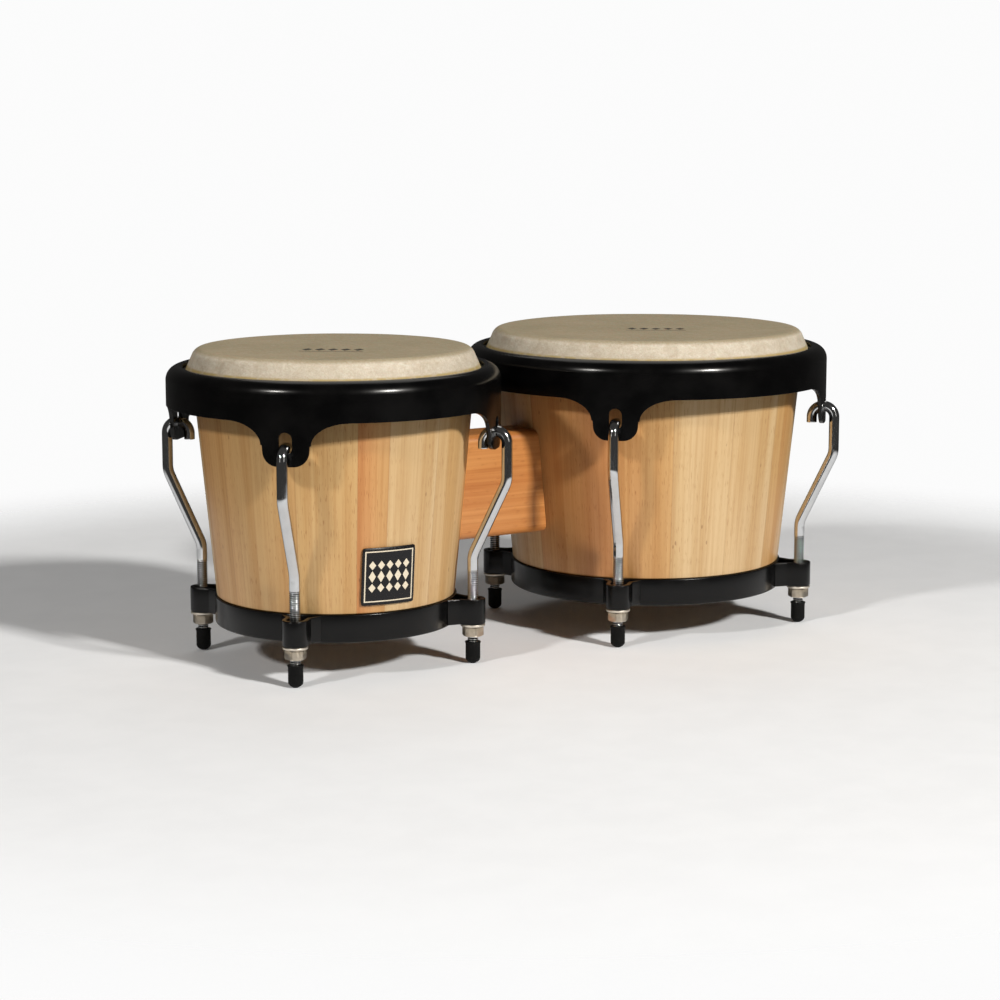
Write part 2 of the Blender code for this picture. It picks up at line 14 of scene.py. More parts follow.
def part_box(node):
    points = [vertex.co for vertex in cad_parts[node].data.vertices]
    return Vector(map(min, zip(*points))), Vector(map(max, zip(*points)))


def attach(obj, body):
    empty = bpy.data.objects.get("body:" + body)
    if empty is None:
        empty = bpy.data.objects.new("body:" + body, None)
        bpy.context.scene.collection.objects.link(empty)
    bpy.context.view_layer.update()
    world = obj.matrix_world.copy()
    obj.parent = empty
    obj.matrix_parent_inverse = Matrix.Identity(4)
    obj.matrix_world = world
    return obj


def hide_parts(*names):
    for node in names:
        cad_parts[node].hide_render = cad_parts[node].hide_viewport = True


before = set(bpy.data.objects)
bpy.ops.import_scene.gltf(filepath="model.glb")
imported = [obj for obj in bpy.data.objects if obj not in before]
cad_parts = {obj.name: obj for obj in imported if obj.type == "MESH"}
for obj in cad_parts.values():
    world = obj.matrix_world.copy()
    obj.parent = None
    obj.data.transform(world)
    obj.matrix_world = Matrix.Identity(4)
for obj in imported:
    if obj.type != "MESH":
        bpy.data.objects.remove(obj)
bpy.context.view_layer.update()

GAP = 0.0003  # clearance between neighbouring pieces
LUG_ANGLES = (45, 135, 225, 315)  # degrees round each drum
SIDES = 192  # columns round a head or a ring

# Shell
SHELL_WALL = 0.0105
BEARING_ROUND = 0.0049
BEARING_IN = 0.0022  # the rounded edge stands this far in from the line of the shell's side
SHELL_PROUD = 0.0011  # the shell above the ring stands this far inside the ring's face
COLUMN_DEGREES = 2.6  # the shells' columns are about this wide
EDGE_ROUND = 0.0006  # turned wood's and cut metal's small edges

# Head, flesh hoop and rim
SKIN = 0.0013
COLLAR_SLOPE = 23.2  # degrees from upright of the skin between the bearing edge and the hoop
HOOP_RADIUS = 0.0023
HOOP_OUT = 0.0116
HEM_END = 325.0
RIM_METAL = 0.0024
RIM_ROUND = 0.0080
RIM_LIP_IN = 0.0018
RIM_LIP_FALL = 0.0003
RIM_EDGE_UP = 0.0244  # the rim's edge between ears, above the ears' lowest point
EAR_SHOULDER_UP = 0.0118
EAR_SWEEP_HALF = 0.036
EAR_NECK_HALF = 0.0146
EAR_LOBE_HALF = 0.0136
EAR_LOBE_ROUND = 0.0088
EAR_NOTCH = 0.0002  # drop of the ledge between the ear's neck and its lobe
SLOT_WIDTH = 0.0080
SLOT_BOTTOM_UP = 0.0067
SLOT_TOP_UP = 0.0192

# Bottom ring and its strap lugs
RING_METAL = 0.0024
RING_LIP_DEPTH = 0.0090
STRAP = 0.0025
STRAP_LOOP_RADIUS = 0.00615
STRAP_FLARE_HALF = 0.0105
STRAP_BEND_RADIUS = 0.0030
STRAP_HEIGHT = 0.0150
STRAP_RISE = 0.0010

# Tuning gear
HOOK_RADIUS = 0.0070
ROD_RADIUS = 0.003175
ROD_OFFSET = 0.0205
ROD_BEND_HIGH = 0.1085
ROD_BEND_LOW = 0.0645
ROD_BEND_RADIUS = 0.0150
HOOK_TIP_DROP = 0.0035
ROD_SIDES = 24
THREAD_TOP = 0.0560
THREAD_PITCH = 0.00127
THREAD_DEPTH = 0.00055
THREAD_ROWS = 6  # rows of a rod's mesh along one turn of the thread
ROD_THREAD_SHARP = 1.6  # steepness of the grooves
ROD_THREAD_LAND = 0.45  # width of the crests between them
HEX_CHAMFER = 0.10  # as a share of the width across flats
HEX_SPARE = 0.0001  # the rounding cone's reach beyond the corners
HEX_EDGE = 0.00022
NUT_FLATS = 0.0111
NUT_BORE = 0.0033
BORE_LEAD = 0.0006
WASHER_RADIUS = 0.00725
WASHER_BORE = 0.0038
FOOT_RADIUS = 0.00475
FOOT_SLACK = 0.0001
FOOT_TIP_RADIUS = 0.0014
FOOT_BEAD = 0.0004

# Block and its bolts
BLOCK_ROUND = 0.0050
BLOCK_END_ROUND = 0.0013
BOLT_FLATS = 0.0130
BOLT_RADIUS = 0.0040
BOLT_LENGTH = 0.0300
BOLT_PLAIN = 0.0040  # unthreaded under the head
BOLT_TIP = 0.0008  # unthreaded at the tip
BOLT_WASHER_RADIUS = 0.0100
BOLT_HOLE_RADIUS = 0.0045
SEAT_RADIUS = 0.0106
SEAT_DEPTH = 0.0002
INSERT_RADIUS = 0.0060
INSERT_LENGTH = 0.0200
INSERT_RECESS = 0.0010
INSERT_SPARE = 0.0030
INSERT_GROOVES = 7
INSERT_GROOVE_HALF = 0.0007
INSERT_GROOVE_DEPTH = 0.0006
LEVELS = ("lower", "upper")

# Badge
BADGE_ANGLE = 265.5
BADGE_WIDTH = 0.0330
BADGE_THICKNESS = 0.0010
BADGE_STAND_OFF = 0.0005
BADGE_CORNER = 0.0012
BADGE_EDGE = 0.0003

# How each drum's staves are laid, going round from the first joint's angle: each stave's width in
# degrees and its colour at its two sides, from 0 for pale straw over 0.5 for tan to 1 for pinkish brown.
STAVES = {
    "small": (187.6, [
        (36.8, 0.66, 0.42), (26.2, 0.36, 0.46), (13.5, 1.00, 0.62), (25.0, 0.16, 0.10), (30.0, 0.14, 0.26),
        (22.0, 0.70, 0.60), (34.0, 0.22, 0.36), (27.0, 0.52, 0.40), (18.0, 0.12, 0.05), (31.0, 0.64, 0.82),
        (25.0, 0.30, 0.18), (29.0, 0.44, 0.55), (19.5, 0.10, 0.20), (23.0, 0.80, 0.58),
    ]),
    "large": (186.6, [
        (34.1, 0.86, 0.98), (24.0, 0.80, 0.58), (23.9, 0.16, 0.06), (24.0, 0.10, 0.20), (19.0, 0.40, 0.55),
        (27.0, 0.18, 0.28), (22.0, 0.72, 0.60), (29.0, 0.34, 0.22), (16.0, 0.90, 0.78), (31.0, 0.12, 0.24),
        (24.0, 0.48, 0.58), (20.0, 0.26, 0.10), (28.0, 0.62, 0.70), (17.0, 0.20, 0.32), (21.0, 0.50, 0.40),
    ]),
}

# Where each head's printed mark lies from the drum's axis, and the angle it is turned to
MARKS = {"small": (-0.0102, -0.0177, -36), "large": (-0.0032, -0.0142, -36)}


def read_drum(name, towards):
    """The sizes of one drum, read from its CAD nodes."""
    pieces = ("rim", "bottom_ring", "shell", "tuning_rod_1", "flesh_hoop")
    rim_box, ring_box, shell_box, rod_box, hoop_box = [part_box(f"{name}_{piece}") for piece in pieces]
    rim, ring, hoop = [(high.x - low.x) / 2 for low, high in (rim_box, ring_box, hoop_box)]
    x = (rim_box[0].x + rim_box[1].x) / 2
    hooked = rim - RIM_METAL / 2 + HOOK_RADIUS
    return SimpleNamespace(
        name=name,
        towards=towards,
        x=x,
        rim=rim,
        rim_side_top=rim_box[1].z - RIM_ROUND,
        ear_bottom=rim_box[0].z,
        ring=ring,
        ring_bottom=ring_box[0].z,
        ring_top=ring_box[1].z,
        head=hoop - HOOP_OUT - HOOP_RADIUS,
        arc_centre=shell_box[1].z - BEARING_ROUND,
        shell_foot=shell_box[0].z,
        skin_top=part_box(name + "_head_skin")[1].z,
        hoop_height=(hoop_box[0].z + hoop_box[1].z) / 2,
        hooked=hooked,
        threaded=hooked - ROD_OFFSET,
        rod_bottom=rod_box[0].z,
        rod_top=rod_box[1].z,
        place=Matrix.Translation((x, 0, 0)),
        body=name + "_head_assembly",
    )


DRUMS = {name: read_drum(name, towards) for name, towards in (("small", 1), ("large", -1))}


# Materials


class Nodes:
    """A node tree under construction."""

    def __init__(self, tree):
        self.tree = tree

    def node(self, kind, inputs, output=0, **settings):
        """Adds a node, sets its inputs to values or other outputs, and returns its output."""
        made = self.tree.nodes.new("ShaderNode" + kind)
        for setting, value in settings.items():
            setattr(made, setting, value)
        for socket, value in inputs.items():
            self.put(made.inputs[socket], value)
        return made.outputs[output]

    def put(self, socket, value):
        if isinstance(value, bpy.types.NodeSocket):
            self.tree.links.new(value, socket)
        else:
            socket.default_value = (*value, 1.0) if socket.type == "RGBA" else value

    def object_place(self):
        return self.node("TexCoord", {}, output=3)

    def stretch(self, vector, scale):
        return self.node("VectorMath", {0: vector, 1: scale}, operation="MULTIPLY")

    def axis(self, vector, index):
        return self.node("SeparateXYZ", {0: vector}, output=index)

    def noise(self, vector, scale, detail=2.0, roughness=0.5, distortion=0.0):
        """Noise at one scale, or at one along each axis."""
        if isinstance(scale, tuple):
            vector, scale = self.stretch(vector, scale), 1.0
        inputs = {"Vector": vector, "Scale": scale, "Detail": detail, "Roughness": roughness}
        return self.node("TexNoise", {**inputs, "Distortion": distortion})

    def cells(self, vector, scale):
        return self.node("TexVoronoi", {"Vector": vector, "Scale": scale})

    def mark(self, name):
        """A value stored on the mesh."""
        return self.node("Attribute", {}, output=2, attribute_name=name)

    def math(self, operation, first, second=0.0):
        return self.node("Math", {0: first, 1: second}, operation=operation)

    def times(self, first, second):
        return self.math("MULTIPLY", first, second)

    def within(self, value, reach):
        """1 where the value lies between -reach and reach, 0 elsewhere."""
        return self.math("LESS_THAN", self.math("ABSOLUTE", value), reach)

    def spread(self, value, low, high, new_low=0.0, new_high=1.0):
        """Maps low..high to new_low..new_high, smoothly and clamped."""
        inputs = {0: value, 1: low, 2: high, 3: new_low, 4: new_high}
        return self.node("MapRange", inputs, interpolation_type="SMOOTHSTEP")

    def mix(self, share, first, second, blend="MIX"):
        inputs = {0: share, 6: first, 7: second}
        return self.node("Mix", inputs, output=2, data_type="RGBA", blend_type=blend)

    def stain(self, share, colour, tint):
        return self.mix(share, colour, tint, "MULTIPLY")

    def ramp(self, value, *stops):
        made = self.tree.nodes.new("ShaderNodeValToRGB")
        elements = made.color_ramp.elements
        while len(elements) < len(stops):
            elements.new(0.5)
        for element, (position, colour) in zip(elements, stops):
            element.position = position
            element.color = (*colour, 1.0)
        self.put(made.inputs[0], value)
        return made.outputs[0]


class Surface(Nodes):
    """A Principled material under construction."""

    def __init__(self, name, sockets):
        self.material = bpy.data.materials.new(name)
        self.material.use_nodes = True
        super().__init__(self.material.node_tree)
        self.shader = self.tree.nodes["Principled BSDF"]
        for socket, value in sockets.items():
            self.put(self.shader.inputs[socket], value)

    def finish(self, colour, rough, *layers):
        """Sets the colour, the roughness from (noise, low, high) and the bump. Returns the material."""
        noise_value, low, high = rough
        self.put(self.shader.inputs["Base Color"], colour)
        self.put(self.shader.inputs["Roughness"], self.spread(noise_value, 0.3, 0.7, low, high))
        if layers:
            self.bump(*layers)
        return self.material

    def bump(self, *layers):
        """Stacks bump layers of (height output, depth in metres)."""
        inputs = {"Strength": 1.0}
        for height, depth in layers:
            inputs.update({"Height": height, "Distance": depth})
            inputs["Normal"] = self.node("Bump", inputs)
        self.put(self.shader.inputs["Normal"], inputs["Normal"])


def wood_figure(look, grain, base, streak, marks):
    """Fine lines, pores and specks over a wood's base colour; grain runs along the vector's Y."""
    lines = look.noise(grain, (620, 9, 40), 3.0, 0.6, 0.3)
    broad = look.noise(grain, (95, 3.2, 40), 3.0, 0.55, 0.6)
    pores = look.noise(grain, (2300, 150, 40), 1.0, 0.5)
    patches = look.noise(grain, (60, 14, 40), 2.0)
    specks = look.cells(look.stretch(grain, (120, 42, 40)), 1.0)
    colour = look.stain(look.spread(broad, 0.36, 0.66), base, streak)
    colour = look.stain(look.spread(lines, 0.40, 0.72, 0.0, 0.55), colour, (0.80, 0.68, 0.56))
    pore = look.times(look.spread(pores, 0.60, 0.74), look.spread(patches, 0.35, 0.62, 0.25 * marks, marks))
    colour = look.stain(pore, colour, (0.62, 0.44, 0.30))
    look.bump((lines, 0.00003), (pores, 0.00004))
    colour = look.stain(look.spread(specks, 0.075, 0.04, 0.0, 0.6 * marks), colour, (0.30, 0.16, 0.08))
    return colour, broad


def stave_wood(name, sockets, fade):
    """Wood of the shells: upright grain, each stave with its own tint, and a fine line at each joint."""
    look = Surface(name, sockets)
    grain = look.node("UVMap", {}, uv_map="grain")
    drift = look.noise(grain, (38, 1.6, 1), 2.0, 0.5, 0.5)
    base = look.ramp(
        look.math("ADD", look.mark("tint"), look.times(look.math("SUBTRACT", drift, 0.5), 0.6)),
        (0.00, (0.630, 0.465, 0.265)),
        (0.40, (0.590, 0.385, 0.172)),
        (0.70, (0.560, 0.315, 0.122)),
        (1.00, (0.540, 0.255, 0.092)),
    )
    colour, broad = wood_figure(look, grain, base, (0.86, 0.78, 0.67), 0.85)
    joint = look.spread(look.mark("joint"), 0.965, 0.995, 0.0, 0.25)
    colour = look.stain(joint, colour, (0.50, 0.34, 0.22))
    rough = sockets["Roughness"]
    return look.finish(look.mix(fade, colour, (0.50, 0.42, 0.33)), (broad, rough - 0.05, rough + 0.06))


def block_wood():
    """Orange wood whose grain runs from drum to drum."""
    look = Surface("block_wood_lacquer", {"Roughness": 0.36, "Coat Weight": 0.2, "Coat Roughness": 0.2})
    place = look.object_place()
    turn = look.node("Mapping", {0: place, 2: (0, 0, radians(90))})
    swirl = look.noise(place, (4, 30, 34), 2.0, 0.5, 1.2)
    base = look.ramp(
        swirl, (0.30, (0.62, 0.285, 0.088)), (0.50, (0.58, 0.245, 0.068)), (0.70, (0.52, 0.200, 0.050))
    )
    colour, broad = wood_figure(look, look.stretch(turn, (1, 1, 9)), base, (0.88, 0.78, 0.68), 0.35)
    return look.finish(colour, (broad, 0.32, 0.44))


def diamonds(look, along, over, pitch, half_width, half_height, count):
    """1 inside a row of diamonds about the origin, 0 outside."""
    cell = look.math("FRACT", look.math("ADD", look.math("DIVIDE", along, pitch), 0.5))
    aside = look.times(look.math("ABSOLUTE", look.math("SUBTRACT", cell, 0.5)), pitch / half_width)
    above = look.math("DIVIDE", look.math("ABSOLUTE", over), half_height)
    inside = look.math("LESS_THAN", look.math("ADD", aside, above), 1.0)
    return look.times(inside, look.within(along, pitch * count / 2))


def rawhide(name, drum, mark_x, mark_y, mark_turn):
    """Dry skin: pale collar, a darker, greyer top that is painted shade, mottling, fibres, pores and a small
    printed mark.
    """
    look = Surface(name, {"Subsurface Weight": 0.06, "Subsurface Scale": 0.0015, "Specular IOR Level": 0.35})
    place = look.object_place()
    height = look.axis(place, 2)
    clouds = look.noise(place, 22.0, 3.0, 0.55, 0.4)
    mottle = look.noise(place, 130.0, 3.0, 0.6, 0.8)
    fibre = look.noise(look.stretch(place, (1.0, 0.45, 1.0)), 900.0, 4.0, 0.65, 1.5)
    pores = look.cells(place, 1400.0)
    collar = look.ramp(mottle, (0.25, (0.55, 0.480, 0.375)), (0.75, (0.72, 0.665, 0.565)))
    # painted shade: the top's colour is darker and greyer than the collar's, for the top takes less light
    # than the collar
    top = look.ramp(clouds, (0.25, (0.370, 0.320, 0.215)), (0.75, (0.450, 0.380, 0.265)))
    shaded_top = look.spread(height, drum.skin_top - 0.0026, drum.skin_top - 0.0004)
    colour = look.mix(shaded_top, collar, top)
    colour = look.stain(look.spread(fibre, 0.35, 0.65, 0.0, 0.8), colour, (0.79, 0.73, 0.65))
    colour = look.stain(look.spread(pores, 0.16, 0.05, 0.0, 0.5), colour, (0.62, 0.52, 0.40))
    # painted shade: a mottled dark brown band on the skin just above the rim's crest, where the skin goes
    # down into the gap under the rim's lip
    crest = drum.rim_side_top + RIM_ROUND
    hem = look.spread(height, crest + 0.0012, crest - 0.0003)
    hem = look.times(hem, look.spread(mottle, 0.30, 0.55, 0.35, 0.95))
    colour = look.mix(hem, colour, (0.42, 0.31, 0.12))
    inputs = {0: place, 1: (mark_x, mark_y, 0), 2: (0, 0, radians(mark_turn))}
    local = look.node("Mapping", inputs, vector_type="TEXTURE")
    along, over = look.axis(local, 0), look.axis(local, 1)
    line = look.times(look.within(look.math("ADD", over, 0.0105), 0.0009), look.within(along, 0.0185))
    mark = look.math("MAXIMUM", diamonds(look, along, over, 0.0075, 0.0032, 0.0060, 5), line)
    worn = look.times(look.times(mark, shaded_top), look.spread(fibre, 0.30, 0.62, 0.97, 0.80))
    colour = look.mix(worn, colour, (0.016, 0.016, 0.016))
    return look.finish(colour, (mottle, 0.55, 0.72), (mottle, 0.00012), (fibre, 0.00007))


def coated_steel():
    """Satin black powder coat with a faint orange-peel surface."""
    look = Surface("black_powder_coat", {"Specular IOR Level": 0.27})
    place = look.object_place()
    clouds = look.noise(place, 60.0, 3.0, 0.6)
    colour = look.mix(look.spread(clouds, 0.3, 0.7), (0.0010, 0.0010, 0.0011), (0.0024, 0.0023, 0.0023))
    return look.finish(colour, (clouds, 0.19, 0.25), (look.noise(place, 700.0, 2.0, 0.5), 0.000006))


def metal(name, base, stain, low, high, grain, depth):
    """Plated metal with faint clouding, fine surface marks and painted shade in the thread grooves."""
    look = Surface(name, {"Metallic": 1.0, "Specular Tint": (0.4, 0.4, 0.4)})
    place = look.object_place()
    clouds = look.noise(place, 160.0, 3.0, 0.6)
    marks = look.noise(look.stretch(place, (1.0, 1.0, 0.3)), grain, 3.0, 0.6)
    colour = look.mix(look.spread(clouds, 0.35, 0.75), base, stain)
    # painted shade: the metal's colour goes nearly black down in the thread grooves
    colour = look.mix(look.spread(look.mark("groove"), 0.1, 0.6), colour, (0.02, 0.019, 0.017))
    return look.finish(colour, (marks, low, high), (marks, depth))


def rubber():
    look = Surface("black_rubber_moulded", {"Specular IOR Level": 0.14})
    place = look.object_place()
    dust = look.noise(place, 420.0, 3.0, 0.65)
    grain = look.noise(place, 2600.0, 2.0, 0.5)
    colour = look.mix(look.spread(dust, 0.45, 0.8), (0.0025, 0.0025, 0.0025), (0.0070, 0.0067, 0.0065))
    return look.finish(colour, (grain, 0.55, 0.8), (grain, 0.00002))


def badge_enamel():
    """Black enamel with a pale line round it and three rows of diamonds."""
    look = Surface("badge_enamel_print", {"Specular IOR Level": 0.3})
    plate = look.node("UVMap", {}, uv_map="plate")
    along, over = look.axis(plate, 0), look.axis(plate, 1)
    out = look.math("MAXIMUM", look.math("ABSOLUTE", along), look.math("ABSOLUTE", over))
    pattern = look.times(look.math("GREATER_THAN", out, 0.0142), look.math("LESS_THAN", out, 0.0149))
    for row, half_height in ((0.0066, 0.0026), (0.0, 0.0034), (-0.0066, 0.0026)):
        above = look.math("SUBTRACT", over, row)
        line = diamonds(look, along, above, 0.0052, 0.0021, half_height, 4.9)
        pattern = look.math("MAXIMUM", pattern, line)
    wear = look.noise(plate, 900.0, 3.0, 0.6)
    ink = look.times(pattern, look.spread(wear, 0.25, 0.5, 0.85, 1.0))
    colour = look.mix(ink, (0.007, 0.007, 0.008), (0.72, 0.64, 0.50))
    return look.finish(colour, (wear, 0.22, 0.36), (ink, 0.00006))


LOOKS = {
    "shell_wood": stave_wood(
        "shell_wood_lacquer", {"Roughness": 0.40, "Coat Weight": 0.15, "Coat Roughness": 0.25}, 0.0
    ),
    "shell_inside": stave_wood("shell_wood_bare", {"Roughness": 0.72}, 0.25),
    "block_wood": block_wood(),
    "black_steel": coated_steel(),
    "chrome": metal("chrome_plate", (0.69, 0.70, 0.71), (0.63, 0.64, 0.65), 0.05, 0.12, 900.0, 0.000001),
    "nickel": metal("nickel_plate", (0.80, 0.74, 0.65), (0.62, 0.56, 0.47), 0.36, 0.52, 1500.0, 0.00001),
    "steel": metal("zinc_plate", (0.55, 0.56, 0.58), (0.42, 0.43, 0.44), 0.28, 0.45, 1500.0, 0.00001),
    "brass": metal("machined_brass", (0.66, 0.47, 0.19), (0.45, 0.30, 0.11), 0.22, 0.40, 1500.0, 0.00001),
    "black_rubber": rubber(),
    "badge_enamel": badge_enamel(),
}


# Mesh tools


def add_piece(name, bm, looks, smooth_angle=35, place=None):
    """An object from a bmesh, shaded smooth up to the given angle."""
    mesh = bpy.data.meshes.new(name)
    bmesh.ops.recalc_face_normals(bm, faces=bm.faces)
    bm.to_mesh(mesh)
    bm.free()
    for look in looks:
        mesh.materials.append(LOOKS[look] if isinstance(look, str) else look)
    mesh.shade_smooth()
    mesh.set_sharp_from_angle(angle=radians(smooth_angle))
    return add_object(name, mesh, place)


def add_object(name, data, place=None):
    obj = bpy.data.objects.new(name, data)
    bpy.context.scene.collection.objects.link(obj)
    if place:
        obj.matrix_world = place
    return obj


def take_mesh(obj):
    """The object's mesh; the object itself is removed."""
    mesh = obj.data
    bpy.data.objects.remove(obj)
    return mesh


def dress(obj, node, body):
    """The piece stands for a CAD node, which is hidden, and moves with a body."""
    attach(obj, body)
    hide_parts(node)


def settle(obj, smooth_angle=35):
    """Applies the modifiers, removes the objects they cut or join with, and shades the result."""
    bpy.context.view_layer.update()
    graph = bpy.context.evaluated_depsgraph_get()
    mesh = bpy.data.meshes.new_from_object(obj.evaluated_get(graph))
    others = [modifier.object for modifier in obj.modifiers if modifier.type == "BOOLEAN"]
    obj.modifiers.clear()
    obj.data = mesh
    if smooth_angle:
        mesh.shade_smooth()
        mesh.set_sharp_from_angle(angle=radians(smooth_angle))
    for other in others:
        bpy.data.objects.remove(other)
    return obj


def modify(obj, kind, **settings):
    modifier = obj.modifiers.new(kind.lower(), kind)
    for setting, value in settings.items():
        setattr(modifier, setting, value)


def boolean(obj, other, operation="DIFFERENCE"):
    modify(obj, "BOOLEAN", operation=operation, solver="EXACT", object=other)


def bevel(obj, width, segments=2, angle=40, harden=True):
    limit = {"limit_method": "ANGLE", "angle_limit": radians(angle)}
    modify(obj, "BEVEL", width=width, segments=segments, harden_normals=harden, **limit)


def polar(radius, angle):
    return radius * cos(angle), radius * sin(angle)


def arc(centre, radius, start, end, steps):
    """Points (x, y) along an arc, angles in degrees, both ends included."""
    points = []
    for step in range(steps + 1):
        x, y = polar(radius, radians(start + (end - start) * step / steps))
        points.append((centre[0] + x, centre[1] + y))
    return points


def round_box(left, right, low, high, radius, steps=4):
    """The closed outline of an upright box with rounded corners."""
    corners = ((left, low), (right, low), (right, high), (left, high))
    return rounded([(*corner, radius) for corner in corners], steps)


def rounded(corners, steps=4):
    """A closed outline from (x, y, radius) corners, each corner rounded to its radius."""
    places = [Vector((x, y, 0)) for x, y, _ in corners]
    outline = []
    for index, (x, y, radius) in enumerate(corners):
        if radius == 0:
            outline.append((x, y))
            continue
        after = places[(index + 1) % len(places)]
        turn = rounded_corner(places[index - 1], places[index], after, radius, steps)
        outline += [(point.x, point.y) for point in turn]
    return outline


def join_rows(bm, rows, around, closed):
    """Faces between neighbouring rows of points; around joins last to first, closed the rows' own ends."""
    for row, following in zip(rows, rows[1:] + rows[:1] if around else rows[1:]):
        for i in range(len(row) if closed else len(row) - 1):
            j = (i + 1) % len(row)
            corners = dict.fromkeys((row[i], row[j], following[j], following[i]))
            if len(corners) > 2:
                bm.faces.new(list(corners))


def lathe(profile, angles, closed=True):
    """Turns (radius, height) points round Z at these angles in radians. Returns the mesh and its rows."""
    bm = bmesh.new()
    on_axis = {i: bm.verts.new((0, 0, z)) for i, (r, z) in enumerate(profile) if r <= 0}
    rows = []
    for angle in angles:
        row = enumerate(profile)
        rows.append([on_axis.get(i) or bm.verts.new((*polar(r, angle), z)) for i, (r, z) in row])
    join_rows(bm, rows, True, closed)
    return bm, rows


def turned(name, profile, look, steps=SIDES, place=None):
    """A turned solid; the profile is closed, or runs from axis to axis."""
    angles = [tau * step / steps for step in range(steps)]
    bm, _ = lathe(profile, angles, closed=profile[0][0] > 0)
    return add_piece(name, bm, [look], 35, place)


def drill(radius, near, far, look, place):
    """A cylinder along its place's Z, to cut a hole."""
    return turned("drill", [(0, far), (radius, far), (radius, near), (0, near)], look, 48, place)


def prism(outline, low, high, axes=(0, 1, 2)):
    """An outline of (a, b) points extruded from low to high; axes places a, b and the height."""
    bm = bmesh.new()
    rings = []
    for height in (low, high):
        places = [(a, b, height) for a, b in outline]
        rings.append([bm.verts.new([place[axes.index(i)] for i in range(3)]) for place in places])
        bm.faces.new(rings[-1])
    join_rows(bm, rings, False, True)
    return bm


def sweep(path, up, section):
    """A solid along a flat path; section(distance) gives (across, along up) points, closed."""
    bm = bmesh.new()
    points = [Vector(point) for point in path]
    distance = 0.0
    rows = []
    for i, point in enumerate(points):
        before, after = points[max(i - 1, 0)], points[min(i + 1, len(points) - 1)]
        side = up.cross((after - before).normalized()).normalized()
        distance += (point - before).length
        rows.append([bm.verts.new(point + side * a + up * b) for a, b in section(distance)])
    join_rows(bm, rows, False, True)
    bm.faces.new(rows[0])
    bm.faces.new(rows[-1])
    return bm


def rounded_corner(before, corner, after, radius, steps):
    """Points along the arc that rounds off the corner of a path or an outline, in its plane."""
    before, corner, after = Vector(before), Vector(corner), Vector(after)
    back, onward = (before - corner).normalized(), (after - corner).normalized()
    half = back.angle(onward) / 2
    reach = radius / tan(half)
    centre = corner + (back + onward).normalized() * radius / sin(half)
    start, end = corner + back * reach - centre, corner + onward * reach - centre
    axis, angle = start.rotation_difference(end).to_axis_angle()
    return [centre + Matrix.Rotation(angle * step / steps, 3, axis) @ start for step in range(steps + 1)]


def at_lug(drum, angle, radius=0.0, height=0.0):
    """A place whose +X points away from the drum's axis at this angle round it."""
    turn = Matrix.Rotation(radians(angle), 4, "Z")
    return drum.place @ turn @ Matrix.Translation((radius, 0, height))


def along_x(drum, height, distance=0.0):
    """A place on the drum's axis at this height whose +Z points towards the other drum."""
    turn = Matrix.Rotation(radians(90 * drum.towards), 4, "Y")
    return Matrix.Translation((drum.x, 0, height)) @ turn @ Matrix.Translation((0, 0, distance))


def shell_radius(drum, height):
    """The shell's outer radius: a straight taper from the bottom ring to the bearing edge."""
    low = drum.ring - SHELL_PROUD
    high = drum.head + BEARING_ROUND
    return low + (high - low) * (height - drum.ring_top) / (drum.arc_centre - drum.ring_top)


# Shells


def shell_profile(drum):
    rebate = drum.ring - RING_METAL - GAP
    step, foot = drum.ring_top + GAP, drum.shell_foot
    inner_top = drum.head + BEARING_ROUND - SHELL_WALL
    inner_foot = shell_radius(drum, foot) - SHELL_WALL
    bearing = arc((drum.head - BEARING_IN, drum.arc_centre), BEARING_ROUND, 90, COLLAR_SLOPE, 8)
    outer = [(shell_radius(drum, step), step, EDGE_ROUND), (rebate, step, 0), (rebate, foot, EDGE_ROUND)]
    inner = [(inner_foot, foot, EDGE_ROUND), (inner_top, drum.arc_centre - BEARING_ROUND, 0)]
    return [*bearing, bevel_foot(drum, *bearing[-1]), *rounded(outer + inner, 3)]


def bevel_foot(drum, radius, height):
    """Where the bevel that falls outward from this point of the bearing edge meets the shell's side."""
    slope = tan(radians(COLLAR_SLOPE))
    taper = (shell_radius(drum, height) - shell_radius(drum, 0)) / height
    meet = (radius + slope * height - shell_radius(drum, 0)) / (slope + taper)
    return shell_radius(drum, meet), meet


